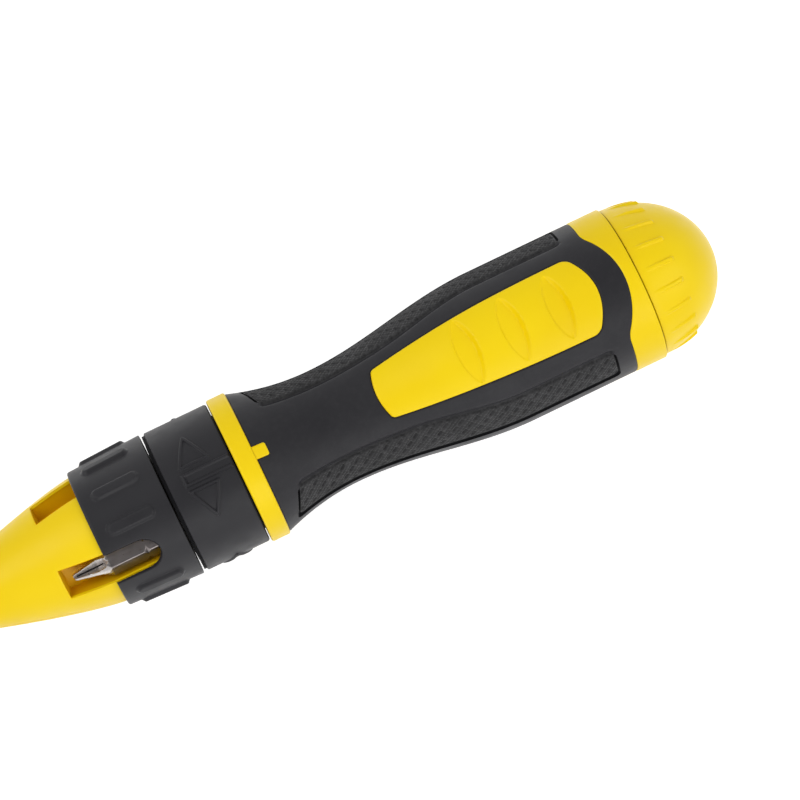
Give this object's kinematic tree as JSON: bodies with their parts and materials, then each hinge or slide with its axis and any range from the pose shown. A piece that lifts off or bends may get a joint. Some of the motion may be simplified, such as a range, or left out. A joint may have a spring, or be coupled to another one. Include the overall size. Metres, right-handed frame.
{
  "type": "ratcheting screwdriver",
  "caption": "Ratcheting screwdriver with spare bits in slots round its nose, a turning cover collar, a direction ring, a rubber-coated handle and a screw-off domed cap over more bits.",
  "frame": {"origin": "middle of the front face of the shank, on the axis of the tool", "axes": "+X runs along the tool from the bit to the end cap, +Z points out of one panel of the handle, +Y completes the right-handed set"},
  "size_m": [0.2382, 0.039, 0.039],
  "materials": {
    "core_plastic": "semi-gloss",
    "nose_plastic": "semi-gloss",
    "cap_plastic": "semi-gloss",
    "grip_rubber": "matte",
    "seal_rubber": "matte",
    "collar_plastic": "satin",
    "selector_plastic": "satin",
    "rack_plastic": "matte",
    "shank_steel": "satin",
    "bit_steel": "satin",
    "tool_steel": "hardened",
    "spring_steel": "bright",
    "screw_steel": "zinc plated",
    "magnet_nickel": "nickel plated",
    "zinc_casting": "die cast",
    "bush_brass": "satin"
  },
  "bodies": {
    "handle": {"handle_core": "core_plastic", "handle_grip": "grip_rubber", "ratchet_housing": "zinc_casting", "housing_cover": "zinc_casting", "cover_screws": "screw_steel", "front_bush": "bush_brass", "rear_bush": "bush_brass", "thrust_washers": "bush_brass", "pawl_pins": "tool_steel", "selector_leaf": "spring_steel", "bit_rack": "rack_plastic", "rack_bit_flat_small": "bit_steel", "rack_bit_flat_large": "bit_steel", "rack_bit_cross": "bit_steel", "rack_bit_star": "bit_steel", "rack_bit_hex": "bit_steel", "rack_bit_square": "bit_steel"},
    "spindle": {"spindle": "shank_steel", "ratchet_gear": "tool_steel", "gear_clip": "spring_steel", "bit_magnet": "magnet_nickel", "bit_clip": "spring_steel", "nose_shell_upper": "nose_plastic", "nose_shell_lower": "nose_plastic", "nose_screws": "screw_steel", "collar_leaf": "spring_steel", "collar_circlip": "spring_steel", "nose_bit_cross": "bit_steel", "nose_bit_flat": "bit_steel", "nose_bit_star": "bit_steel"},
    "collar": {"front_collar": "collar_plastic"},
    "selector": {"selector_ring": "selector_plastic", "plunger_springs": "spring_steel", "plunger_balls": "tool_steel"},
    "upper_pawl": {"pawl_upper": "tool_steel"},
    "lower_pawl": {"pawl_lower": "tool_steel"},
    "loaded_bit": {"chuck_bit": "bit_steel"},
    "seal": {"cap_seal": "seal_rubber"},
    "cap": {"end_cap": "cap_plastic"}
  },
  "joints": [
    {"name": "spindle_turn", "type": "hinge", "parent": "handle", "child": "spindle", "pos_m": [0.04, 0, 0], "axis": [1, 0, 0], "continuous": true},
    {"name": "collar_turn", "type": "hinge", "parent": "spindle", "child": "collar", "pos_m": [0.07, 0, 0], "axis": [1, 0, 0], "continuous": true, "deforming": ["collar_leaf"]},
    {"name": "selector_turn", "type": "hinge", "parent": "handle", "child": "selector", "pos_m": [0.089, 0, 0], "axis": [1, 0, 0], "range_deg": [-17.5, 17.5], "deforming": ["selector_leaf"]},
    {"name": "upper_pawl_tilt", "type": "hinge", "parent": "handle", "child": "upper_pawl", "pos_m": [0.086, 0, 0.0107], "axis": [1, 0, 0], "range_deg": [-9, 9]},
    {"name": "lower_pawl_tilt", "type": "hinge", "parent": "handle", "child": "lower_pawl", "pos_m": [0.086, 0, -0.0107], "axis": [1, 0, 0], "range_deg": [-9, 9]},
    {"name": "bit_pull", "type": "slide", "parent": "spindle", "child": "loaded_bit", "axis": [-1, 0, 0], "range_m": [0, 0.009]},
    {"name": "cap_travel", "type": "slide", "parent": "handle", "child": "seal", "axis": [1, 0, 0], "range_m": [0, 0.009]},
    {"name": "cap_turn", "type": "hinge", "parent": "seal", "child": "cap", "pos_m": [0.205, 0, 0], "axis": [1, 0, 0], "range_deg": [0, 540]}
  ],
  "couplings": [
    {"joint": "upper_pawl_tilt", "follows": "selector_turn", "ratio": 0.51429},
    {"joint": "lower_pawl_tilt", "follows": "selector_turn", "ratio": 0.51429},
    {"joint": "cap_turn", "follows": "cap_travel", "rad_per_m": 1047.2}
  ]
}
